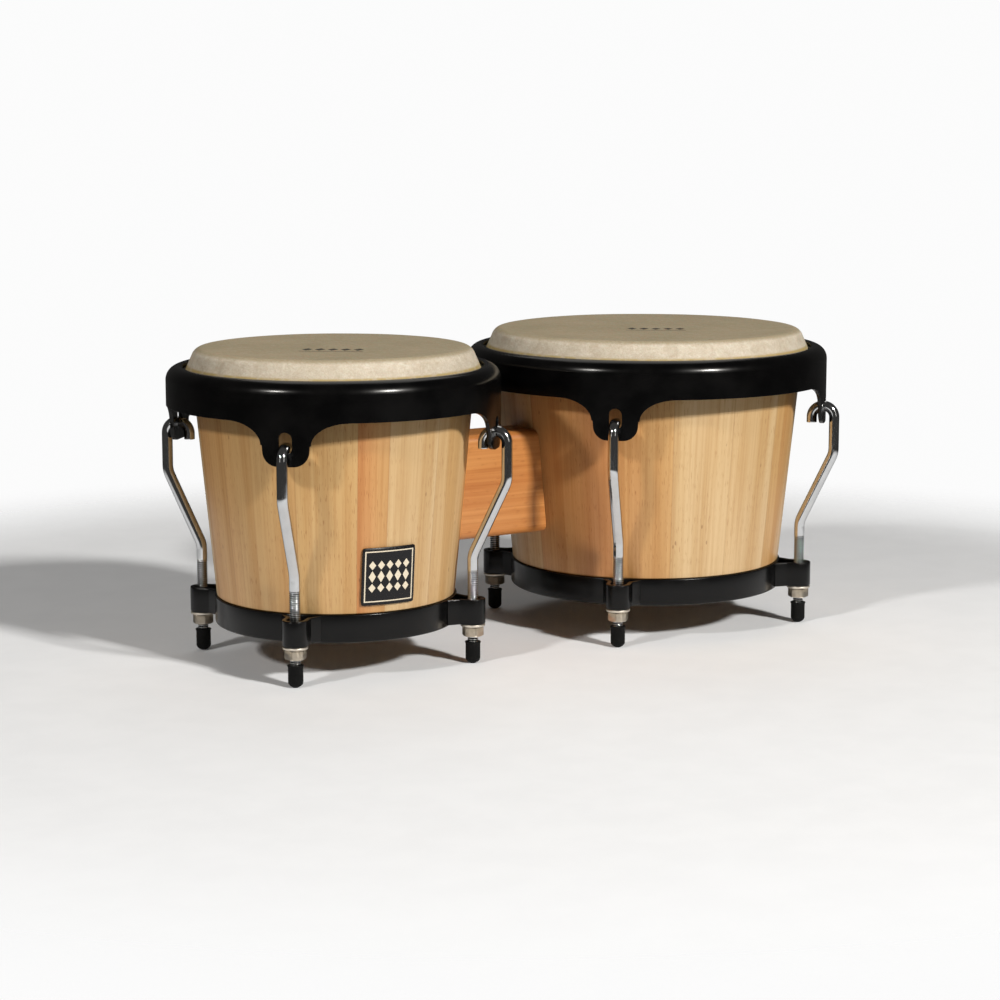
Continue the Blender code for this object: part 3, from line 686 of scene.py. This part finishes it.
def make_shell(drum):
    """The stave shell: its grain map runs in metres, and each stave has its own tint."""
    angle, staves = STAVES[drum.name]
    angles, owner = [], []
    for stave, (width, _, _) in enumerate(staves):
        columns = round(width / COLUMN_DEGREES)
        angles += [radians(angle + width * column / columns) for column in range(columns)]
        owner += [(stave, column / columns, 1 / columns) for column in range(columns)]
        angle += width
    bm, rows = lathe(shell_profile(drum), angles)
    column_of = {vert: index for index, row in enumerate(rows) for vert in row}
    grain = bm.loops.layers.uv.new("grain")
    tint_layer = bm.loops.layers.float.new("tint")
    joint_layer = bm.loops.layers.float.new("joint")
    middle = shell_radius(drum, drum.ring_top)
    for face in bm.faces:
        found = [column_of[vert] for vert in face.verts]
        first = max(found) if max(found) - min(found) > 1 else min(found)  # the last column meets the first
        stave, start, step = owner[first]
        width, left, right = staves[stave]
        outward = face.calc_center_median()
        inside = hypot(outward.x, outward.y) < shell_radius(drum, outward.z) - SHELL_WALL / 2
        face.material_index = int(inside)
        for loop in face.loops:
            share = start if column_of[loop.vert] == first else start + step
            u = share * radians(width) * middle
            loop[grain].uv = (u + stave * 0.31, loop.vert.co.z + stave * 0.17)  # no two staves alike
            loop[tint_layer] = left + (right - left) * share
            loop[joint_layer] = abs(2 * share - 1)
    shell = add_piece(drum.name + "_shell_staves", bm, ["shell_wood", "shell_inside"], 35, drum.place)
    for level in LEVELS:
        height = bolt_height(drum, level)
        seat = bolt_seat(drum, height)
        outside = shell_radius(drum, height) + SHELL_WALL
        for radius, end in ((SEAT_RADIUS, seat), (BOLT_HOLE_RADIUS, outside)):
            boolean(shell, drill(radius, seat - SHELL_WALL, end, "shell_inside", along_x(drum, height)))
    dress(settle(shell), drum.name + "_shell", "frame")


def bolt_height(drum, level):
    return node_size(f"block_bolt_{drum.name}_{level}")[1].z


def bolt_seat(drum, height):
    """Distance from the drum's axis to the flat seat inside the shell for a washer."""
    return shell_radius(drum, height + SEAT_RADIUS) - SHELL_WALL + SEAT_DEPTH


# Heads and flesh hoops


def make_head(drum):
    """The skin: nearly flat on top, its collar drawn down in faint pleats and tucked round the hoop."""
    edge = (drum.head - BEARING_IN, drum.arc_centre)
    outside = drum.skin_top - drum.arc_centre
    inside = outside - SKIN
    hoop = (drum.head + HOOP_OUT, drum.hoop_height)
    hem_inside = HOOP_RADIUS + GAP
    drop = 6
    top = [(edge[0] * step / 20, drum.skin_top) for step in range(20)]
    collar = arc(edge, outside, 90, COLLAR_SLOPE, 10)
    hem = arc(hoop, hem_inside, 180 + COLLAR_SLOPE, HEM_END, 12)
    run = [Vector(collar[-1]).lerp(Vector(hem[0]), step / drop) for step in range(drop)]
    hem_back = arc(hoop, hem_inside + SKIN, HEM_END, 180 + COLLAR_SLOPE, 12)
    under = [*hem_back, *arc(edge, inside, COLLAR_SLOPE, 90, 8), (0, drum.arc_centre + inside)]
    profile = [*top, *collar[:-1], *run, *hem, *under]
    bm, rows = lathe(profile, [pi * step / SIDES for step in range(2 * SIDES)], closed=False)
    for row in rows:
        for vert in row[: len(top) + len(collar) + drop]:
            ripple_skin(vert, drum)
    skin = rawhide(drum.name + "_rawhide", drum, *MARKS[drum.name])
    head = add_piece(drum.name + "_head_rawhide", bm, [skin], 60, drum.place)
    dress(head, drum.name + "_head_skin", drum.body)


def ripple_skin(vert, drum):
    """Moves a point of the skin's outer face by its slight unevenness: swells on top, pleats below."""
    x, y, z = vert.co
    radius = hypot(x, y)
    if radius < 0.001:
        return
    swell = noise.noise(Vector((x * 28, y * 28, drum.x * 50))) * 0.00012
    down = min(max((drum.skin_top - z) / 0.012, 0), 1)
    around = atan2(y, x)
    folds = Vector((cos(around), sin(around), 0)) * 26
    pleat = noise.noise(folds + Vector((0, 0, drum.x * 90))) * 0.00028 * down * down
    vert.co.z += swell * (1 - down)
    scale = 1 + pleat / radius
    vert.co.x *= scale
    vert.co.y *= scale


def make_flesh_hoop(drum):
    profile = arc((drum.head + HOOP_OUT, drum.hoop_height), HOOP_RADIUS, 90, -270, 16)[:-1]
    hoop = turned(drum.name + "_flesh_hoop_wire", profile, "steel", place=drum.place)
    dress(hoop, drum.name + "_flesh_hoop", drum.body)


# Rims


def ear_edge(drum, along):
    """Height of the rim's lower edge at this distance along it from the middle of an ear."""
    edge = drum.ear_bottom + RIM_EDGE_UP
    shoulder = drum.ear_bottom + EAR_SHOULDER_UP
    if along >= EAR_SWEEP_HALF:
        return edge
    if along >= EAR_NECK_HALF:
        run = (EAR_SWEEP_HALF - along) / (EAR_SWEEP_HALF - EAR_NECK_HALF)
        return shoulder + (edge - shoulder) * sqrt(1 - run**2)
    if along <= EAR_LOBE_HALF - EAR_LOBE_ROUND:
        return drum.ear_bottom
    if along > EAR_LOBE_HALF:
        return shoulder - EAR_NOTCH
    share = (along - EAR_LOBE_HALF + EAR_LOBE_ROUND) / EAR_LOBE_ROUND
    return drum.ear_bottom + EAR_LOBE_ROUND * (1 - sqrt(max(1 - share**2, 0)))


def rim_columns(drum):
    """(angle, distance from the nearest ear's middle) of the rim's columns, dense along its curves."""
    inner = EAR_LOBE_HALF - EAR_LOBE_ROUND
    ear = [inner * step / 4 for step in range(5)]
    ear += [inner + EAR_LOBE_ROUND * sin(radians(90 * step / 8)) for step in range(1, 9)]
    ear.append(EAR_LOBE_HALF + EAR_NOTCH)
    sweep_run = EAR_SWEEP_HALF - EAR_NECK_HALF
    ear += [EAR_SWEEP_HALF - sweep_run * cos(radians(90 * step / 14)) for step in range(15)]
    ear_half = EAR_SWEEP_HALF / drum.rim
    plain = tau / len(LUG_ANGLES) - 2 * ear_half
    plain_steps = 24
    columns = []
    for lug in LUG_ANGLES:
        middle = radians(lug)
        columns += [(middle - along / drum.rim, along) for along in reversed(ear[1:])]
        columns += [(middle + along / drum.rim, along) for along in ear]
        for step in range(1, plain_steps):
            columns.append((middle + ear_half + plain * step / plain_steps, EAR_SWEEP_HALF))
    return columns


def make_rim(drum):
    """Pressed steel: rounded top, straight side, four ears, each with an upright round-ended slot."""
    crest = drum.rim - RIM_ROUND
    top = arc((crest, drum.rim_side_top), RIM_ROUND, 90, 0, 12)
    lip = (crest - RIM_LIP_IN, drum.rim_side_top + RIM_ROUND - RIM_LIP_FALL)
    bm = bmesh.new()
    rows = []
    for angle, along in rim_columns(drum):
        section = [lip, *top, (drum.rim, ear_edge(drum, along))]
        rows.append([bm.verts.new((*polar(r, angle), z)) for r, z in section])
    join_rows(bm, rows, True, False)
    rim = add_piece(drum.name + "_rim_steel", bm, ["black_steel"], 35, drum.place)
    modify(rim, "SOLIDIFY", thickness=RIM_METAL, offset=-1, use_even_offset=True)
    low, high = drum.ear_bottom + SLOT_BOTTOM_UP, drum.ear_bottom + SLOT_TOP_UP
    half = SLOT_WIDTH / 2
    outline = round_box(-half, half, low, high, SLOT_WIDTH * 0.499, 6)
    for angle in LUG_ANGLES:
        slot = prism(outline, -3 * RIM_METAL, 3 * RIM_METAL, axes=(1, 2, 0))
        boolean(rim, add_piece("slot_cutter", slot, ["black_steel"], 35, at_lug(drum, angle, drum.rim)))
    bevel(rim, EDGE_ROUND, 2, 50)
    settle(rim, 60)
    smooth_side(rim.data, drum.rim_side_top)
    dress(rim, drum.name + "_rim", drum.body)


def smooth_side(mesh, top):
    """Shades the rim's upright side as one round surface, whatever its faces are cut into."""
    normals = [Vector(corner.vector) for corner in mesh.corner_normals]
    for face in mesh.polygons:
        outward = Vector((face.center.x, face.center.y, 0)).normalized()
        facing = face.normal.dot(outward)
        if abs(facing) < 0.985 or face.center.z > top + RIM_METAL:
            continue
        for corner in face.loop_indices:
            place = mesh.vertices[mesh.loops[corner].vertex_index].co
            normals[corner] = Vector((place.x, place.y, 0)).normalized() * copysign(1, facing)
    mesh.normals_split_custom_set(normals)


# Bottom rings


def strap_path(drum):
    """One strap lug in plan: from the band, round the rod and back, +X away from the drum."""
    rod = drum.threaded
    band = drum.ring - RING_METAL / 2
    knee = drum.ring + (rod - drum.ring) * 0.45
    start, bend = (band, -STRAP_FLARE_HALF, 0), (knee, -STRAP_LOOP_RADIUS, 0)
    loop = [Vector((x, y, 0)) for x, y in arc((rod, 0), STRAP_LOOP_RADIUS, -90, 90, 24)]
    first = rounded_corner(start, bend, loop[0], STRAP_BEND_RADIUS, 5)
    mirrored = [Vector((point.x, -point.y, 0)) for point in reversed(first)]
    return [Vector(start), *first, *loop, *mirrored, Vector((band, STRAP_FLARE_HALF, 0))]


def make_bottom_ring(drum):
    face, low, high = drum.ring, drum.ring_bottom, drum.ring_top
    lip, inside, floor = face - RING_LIP_DEPTH, face - RING_METAL, low + RING_METAL
    outer = [(face, high, EDGE_ROUND), (face, low, 2 * EDGE_ROUND), (lip, low, EDGE_ROUND)]
    inner = [(lip, floor, EDGE_ROUND), (inside, floor, 0), (inside, high, EDGE_ROUND)]
    profile = rounded(outer + inner)
    ring = turned(drum.name + "_bottom_ring_steel", profile, "black_steel", place=drum.place)
    half, bottom = STRAP / 2, low + STRAP_RISE
    section = round_box(-half, half, bottom, bottom + STRAP_HEIGHT, EDGE_ROUND)
    for angle in LUG_ANGLES:
        bm = sweep(strap_path(drum), Vector((0, 0, 1)), lambda distance: section)
        boolean(ring, add_piece("strap", bm, ["black_steel"], 35, at_lug(drum, angle)), "UNION")
    dress(settle(ring, 30), drum.name + "_bottom_ring", "frame")


# Tuning gear


def rod_path(drum):
    """The rod's centre line in the XZ plane: a point every row of thread, then the bends and the hook."""
    hook_height = drum.rod_top - ROD_RADIUS - HOOK_RADIUS
    tip = drum.hooked - 2 * HOOK_RADIUS
    low_bend = (drum.threaded, 0, ROD_BEND_LOW)
    high_bend = (drum.hooked, 0, ROD_BEND_HIGH)
    step = THREAD_PITCH / THREAD_ROWS
    rows = round((THREAD_TOP - drum.rod_bottom) / step)
    foot = (drum.threaded, 0, drum.rod_bottom)
    hook = arc((drum.hooked - HOOK_RADIUS, hook_height), HOOK_RADIUS, 0, 180, 24)
    return [
        *[(drum.threaded, 0, drum.rod_bottom + row * step) for row in range(rows + 1)],
        *rounded_corner(foot, low_bend, high_bend, ROD_BEND_RADIUS, 10),
        *rounded_corner(low_bend, high_bend, (drum.hooked, 0, hook_height), ROD_BEND_RADIUS, 10),
        *[(x, 0, z) for x, z in hook],
        (tip, 0, hook_height - HOOK_TIP_DROP + EDGE_ROUND),
        (tip, 0, hook_height - HOOK_TIP_DROP),
    ]


def thread(radius, depth_at, sharp=1.0, land=0.0):
    """Cross-sections of a threaded bar; depth_at(distance) is the share of the thread's full depth there."""

    def section(distance):
        points = []
        for side in range(ROD_SIDES):
            turn = side / ROD_SIDES
            phase = (distance / THREAD_PITCH + turn) % 1
            groove = min(max((1 - abs(2 * phase - 1)) * sharp - land, 0), 1)
            points.append(polar(radius - THREAD_DEPTH * groove * depth_at(distance), tau * turn))
        return points

    return section


def rod_mesh(drum):
    def fade(distance):
        return min(max((THREAD_TOP - drum.rod_bottom - distance) / (2 * THREAD_PITCH), 0), 1)

    bm = sweep(rod_path(drum), Vector((0, 1, 0)), thread(ROD_RADIUS, fade, ROD_THREAD_SHARP, ROD_THREAD_LAND))
    # the grooves' depth, which the metal uses to paint shade into them
    groove = bm.verts.layers.float.new("groove")
    for vert in bm.verts:
        if drum.rod_bottom < vert.co.z < THREAD_TOP:
            vert[groove] = (ROD_RADIUS - hypot(vert.co.x - drum.threaded, vert.co.y)) / THREAD_DEPTH
    rod = add_piece(drum.name + "_rod", bm, ["chrome"], 50)
    bevel(rod, EDGE_ROUND, 2, 80, harden=False)
    return take_mesh(settle(rod, 50))


def hex_mesh(name, flats, low, high, look, bore=0.0, both_ends=True):
    """A hexagon with chamfered corners, bored through if bore is set."""
    corner = flats / sqrt(3)
    chamfer = HEX_CHAMFER * flats
    fall = chamfer * tan(radians(30))
    reach = corner + HEX_SPARE
    inner = reach - chamfer
    nut = add_piece(name, prism(arc((0, 0), corner, 0, 300, 5), low, high), [look])
    profile = [(0, high), (inner, high), (reach, high - fall)]
    profile += [(reach, low + fall), (inner, low)] if both_ends else [(reach, low)]
    boolean(nut, turned("rounder", [*profile, (0, low)], look, 96), "INTERSECT")
    if bore:
        lead, wide = BORE_LEAD, bore + 2 * BORE_LEAD
        hole = [(0, high + lead), (wide, high + lead), (bore, high - lead)]
        hole += [(bore, low + lead), (wide, low - lead), (0, low - lead)]
        boolean(nut, turned("bore", hole, look, 48))
    bevel(nut, HEX_EDGE, 2, 25)
    return take_mesh(settle(nut, None))


def washer_mesh(name, radius, bore, thickness, look):
    half = thickness / 2
    return take_mesh(turned(name, round_box(bore, radius, -half, half, thickness * 0.28), look, 64))


def foot_mesh(radius, height, rod_end):
    """A moulded cap: domed end, straight side and a small bead at its mouth."""
    bore = ROD_RADIUS + FOOT_SLACK
    side = radius - FOOT_BEAD
    tip = (FOOT_TIP_RADIUS, radius - FOOT_TIP_RADIUS)
    profile = [
        (bore, height),
        *arc((side, height - FOOT_BEAD), FOOT_BEAD, 90, -60, 8),
        (side, height - 4 * FOOT_BEAD),
        *arc(tip, side - FOOT_TIP_RADIUS, 0, -80, 10),
        *((FOOT_TIP_RADIUS, 0), (0, 0), (0, rod_end - GAP), (bore, rod_end - GAP)),
    ]
    return take_mesh(turned("foot", profile, "black_rubber", 48))


def node_size(node):
    """The size and the middle of a CAD node's box."""
    low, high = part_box(node)
    return high - low, (high + low) / 2


def make_tuning_gear(drum, shared):
    rod = rod_mesh(drum)
    for number, angle in enumerate(LUG_ANGLES, start=1):
        piece = add_object(f"{drum.name}_rod_chrome_{number}", rod, at_lug(drum, angle))
        dress(piece, f"{drum.name}_tuning_rod_{number}", drum.body)
        place = at_lug(drum, angle, drum.threaded)
        piece = add_object(f"{drum.name}_foot_cap_{number}", shared["foot"], place)
        dress(piece, f"{drum.name}_rubber_foot_{number}", drum.body)
        for kind, body in (("washer", "frame"), ("tuning_nut", f"{drum.name}_nut_{number}")):
            node = f"{drum.name}_{kind}_{number}"
            place = at_lug(drum, angle, drum.threaded, node_size(node)[1].z)
            dress(add_object(node + "_nickel", shared[kind], place), node, body)


# Block and its bolts


def make_block():
    """A rounded bar between the drums, each end scooped to its shell and bored for inserts."""
    low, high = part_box("centre_block")
    outline = round_box(low.y, high.y, low.z, high.z, BLOCK_ROUND, 8)
    bm = prism(outline, DRUMS["small"].x, DRUMS["large"].x, axes=(1, 2, 0))
    block = add_piece("centre_block_wood", bm, ["block_wood"])
    above, below = high.z + BLOCK_ROUND, low.z - BLOCK_ROUND
    for drum in DRUMS.values():
        scoop = [(0, above), *[(shell_radius(drum, z) + GAP, z) for z in (above, below)], (0, below)]
        boolean(block, turned("scoop", scoop, "block_wood", SIDES, drum.place))
        for level in LEVELS:
            height = bolt_height(drum, level)
            end = shell_radius(drum, height) + GAP
            near, far = end - INSERT_LENGTH, end + INSERT_RECESS + INSERT_LENGTH + INSERT_SPARE
            boolean(block, drill(INSERT_RADIUS + GAP, near, far, "block_wood", along_x(drum, height)))
    bevel(block, BLOCK_END_ROUND, 3, 35)
    dress(settle(block, None), "centre_block", "frame")


def bolt_mesh(flats, head_height):
    """A hexagonal bolt: the head's underside at the origin and the threaded shank along +Z."""
    start = head_height / 2  # the shank begins inside the head
    thread_from, thread_to = start + BOLT_PLAIN, start + BOLT_LENGTH - BOLT_TIP
    bm = bmesh.new()
    bm.from_mesh(hex_mesh("bolt_head", flats, 0, head_height, "steel", both_ends=False))
    bmesh.ops.transform(bm, matrix=Matrix.Diagonal((1, 1, -1, 1)), verts=bm.verts)
    bolt = add_piece("bolt", bm, ["steel"])
    step = THREAD_PITCH / THREAD_ROWS
    heights = [-start, *(row * step for row in range(2, round(BOLT_LENGTH / step))), BOLT_LENGTH]
    section = thread(BOLT_RADIUS, lambda distance: thread_from <= distance <= thread_to)
    bm = sweep([(0, 0, height) for height in heights], Vector((0, 1, 0)), section)
    boolean(bolt, add_piece("bolt_shank", bm, ["steel"], 50), "UNION")
    return take_mesh(settle(bolt, 40))


def make_bolts(drum, shared):
    for level in LEVELS:
        suffix = f"{drum.name}_{level}"
        height = bolt_height(drum, level)
        size, middle = node_size("block_bolt_washer_" + suffix)
        washer_at = abs(middle.x - drum.x)
        for kind, coat, slot, distance in (
            ("block_bolt_washer", "zinc", "steel", washer_at),
            ("block_bolt", "zinc", "steel", washer_at - size.x / 2 - GAP),
            ("threaded_insert", "brass", "brass", shell_radius(drum, height) + GAP + INSERT_RECESS),
        ):
            piece = add_object(f"{kind}_{coat}_{suffix}", shared[kind], along_x(drum, height, distance))
            dress(piece, f"{kind}_{suffix}", "frame")


def insert_mesh():
    """A brass sleeve with rings round its outside that grip the wood."""
    bore, half, valley = BOLT_RADIUS + GAP, INSERT_GROOVE_HALF, INSERT_RADIUS - INSERT_GROOVE_DEPTH
    profile = [(INSERT_RADIUS, INSERT_LENGTH)]
    for groove in range(INSERT_GROOVES, 0, -1):
        low = INSERT_LENGTH * (groove - 0.5) / INSERT_GROOVES
        profile += [(INSERT_RADIUS, low + half), (valley, low), (INSERT_RADIUS, low - half)]
    profile += [(INSERT_RADIUS, 0), (bore, 0), (bore, INSERT_LENGTH)]
    return take_mesh(turned("insert", profile, "brass", 48))


# Badge


def make_badge(drum):
    """A thin plate bent to the shell, with small round corners and softened edges."""
    size, middle = node_size("badge")
    half, tall = BADGE_WIDTH / 2, size.z / 2
    columns, rows = 24, 12
    bm = bmesh.new()
    plate = bm.loops.layers.uv.new("plate")
    grid = {}
    for column in range(columns + 1):
        for row in range(rows + 1):
            along = half * (2 * column / columns - 1)
            up = tall * (2 * row / rows - 1)
            over_x, over_y = abs(along) - half + BADGE_CORNER, abs(up) - tall + BADGE_CORNER
            if over_x > 0 and over_y > 0:
                pull = BADGE_CORNER / max(hypot(over_x, over_y), BADGE_CORNER)
                along = copysign(half - BADGE_CORNER + over_x * pull, along)
                up = copysign(tall - BADGE_CORNER + over_y * pull, up)
            height = middle.z + up
            radius = shell_radius(drum, height) + BADGE_STAND_OFF
            angle = radians(BADGE_ANGLE) + along / radius
            grid[column, row] = (bm.verts.new((*polar(radius, angle), height)), (along, up))
    for column in range(columns):
        for row in range(rows):
            corners = [grid[column + a, row + b] for a, b in ((0, 0), (1, 0), (1, 1), (0, 1))]
            face = bm.faces.new([vert for vert, _ in corners])
            for loop, (_, flat) in zip(face.loops, corners):
                loop[plate].uv = flat
    badge = add_piece("badge_plate", bm, ["badge_enamel"], 35, drum.place)
    modify(badge, "SOLIDIFY", thickness=BADGE_THICKNESS, offset=1)
    bevel(badge, BADGE_EDGE, 2, 60)
    dress(settle(badge), "badge", "frame")


# Floor, lights and camera

FLOOR_RADIUS = 0.75
FLOOR_FADE = (0.42, 0.70)  # the floor fades into the surroundings between these radii
LIGHT_AIM_HEIGHT = 0.1
WARM = (1.0, 0.965, 0.91)
# Each softbox: degrees to the right of the camera's side, elevation, distance, width and height, watts
LIGHTS = {
    "key": (42.0, 31.0, 3.5, (0.30, 0.30), 122.0),
    "fill": (-40.0, 31.0, 3.5, (0.30, 0.30), 46.0),
    "back": (180.0, 55.0, 2.6, (1.6, 1.6), 8.0),
    "right_strip": (42.0, 12.0, 3.2, (0.16, 1.3), 2.2),
    "left_strip": (-40.0, 12.0, 3.2, (0.16, 1.3), 1.6),
}
WORLD = (((0.97, 0.97, 0.97), 1.0), ((1.0, 0.97, 0.93), 0.045))  # colour and power as seen, and as lit by
CAMERA_PLACE = (-0.849, -1.328, 0.338)
CAMERA_YAW = -32.445
CAMERA_PITCH = -9.166
CAMERA_LENS = 93.4


def make_floor():
    """A pale round floor whose rim fades into the pale surroundings."""
    angles = [tau * step / 96 for step in range(96)]
    bm, _ = lathe([(FLOOR_RADIUS * share, 0) for share in (0, 0.1, 0.25, 0.5, 1)], angles, closed=False)
    bmesh.ops.reverse_faces(bm, faces=bm.faces)
    look = Surface("pale_floor", {"Roughness": 0.9, "Specular IOR Level": 0.1})
    place = look.object_place()
    dust = look.noise(place, 30.0, 3.0, 0.6)
    colour = look.mix(look.spread(dust, 0.3, 0.7), (0.88, 0.905, 0.945), (0.90, 0.925, 0.965))
    look.finish(colour, (dust, 0.85, 0.95), (dust, 0.0001))
    from_centre = look.node("VectorMath", {0: place}, output=1, operation="LENGTH")
    clear = look.node("BsdfTransparent", {})
    shares = {0: look.spread(from_centre, *FLOOR_FADE), 1: look.shader.outputs[0], 2: clear}
    look.put(look.tree.nodes["Material Output"].inputs[0], look.node("MixShader", shares))
    add_piece("studio_floor", bm, [look.material])


def make_light(name, azimuth, elevation, distance, size, power):
    lamp = bpy.data.lights.new(name, "AREA")
    lamp.shape = "RECTANGLE"
    lamp.size, lamp.size_y = size
    lamp.energy = power
    lamp.color = WARM
    flat, high = polar(1, radians(elevation))
    away = Vector((*polar(flat, radians(CAMERA_YAW - 90 + azimuth)), high))
    obj = add_object(name, lamp)
    obj.location = Vector((0, 0, LIGHT_AIM_HEIGHT)) + away * distance
    obj.rotation_euler = away.to_track_quat("Z", "Y").to_euler()


def make_world():
    """Pale to the eye, dim as a source of light, so that the softboxes shape the object."""
    world = bpy.data.worlds.new("studio")
    bpy.context.scene.world = world
    world.use_nodes = True
    nodes = Nodes(world.node_tree)
    world.node_tree.nodes.remove(world.node_tree.nodes["Background"])
    camera_ray = nodes.node("LightPath", {})
    seen, lit = [nodes.node("Background", {0: colour, 1: power}) for colour, power in WORLD]
    both = nodes.node("MixShader", {0: camera_ray, 1: lit, 2: seen})
    nodes.put(world.node_tree.nodes["World Output"].inputs[0], both)


def make_camera():
    camera = bpy.data.cameras.new("camera")
    camera.lens = CAMERA_LENS
    camera.sensor_width = 36
    camera.clip_start = 0.01
    obj = add_object("camera", camera)
    obj.location = CAMERA_PLACE
    obj.rotation_euler = (radians(90 + CAMERA_PITCH), 0, radians(CAMERA_YAW))
    bpy.context.scene.camera = obj


def shared_meshes():
    """Meshes of the pieces that repeat, sized from their CAD nodes."""
    pieces = ("washer_1", "tuning_nut_1", "rubber_foot_2")
    washer, nut, foot = [node_size("small_" + piece)[0].z for piece in pieces]
    bolt_washer, bolt = [node_size(f"block_bolt{piece}_small_lower")[0].x for piece in ("_washer", "")]
    bore = BOLT_RADIUS + GAP
    return {
        "washer": washer_mesh("washer", WASHER_RADIUS, WASHER_BORE, washer, "nickel"),
        "tuning_nut": hex_mesh("nut", NUT_FLATS, -nut / 2, nut / 2, "nickel", NUT_BORE),
        "foot": foot_mesh(FOOT_RADIUS, foot, DRUMS["small"].rod_bottom),
        "block_bolt": bolt_mesh(BOLT_FLATS, bolt - BOLT_LENGTH),
        "block_bolt_washer": washer_mesh("bolt_washer", BOLT_WASHER_RADIUS, bore, bolt_washer, "steel"),
        "threaded_insert": insert_mesh(),
    }


def make_object():
    shared = shared_meshes()
    for drum in DRUMS.values():
        for make in (make_shell, make_head, make_flesh_hoop, make_rim, make_bottom_ring):
            make(drum)
        make_tuning_gear(drum, shared)
        make_bolts(drum, shared)
    make_block()
    make_badge(DRUMS["small"])


make_object()
make_floor()
make_world()
for light, settings in LIGHTS.items():
    make_light(light, *settings)
make_camera()
bpy.context.scene.view_settings.view_transform = "Standard"
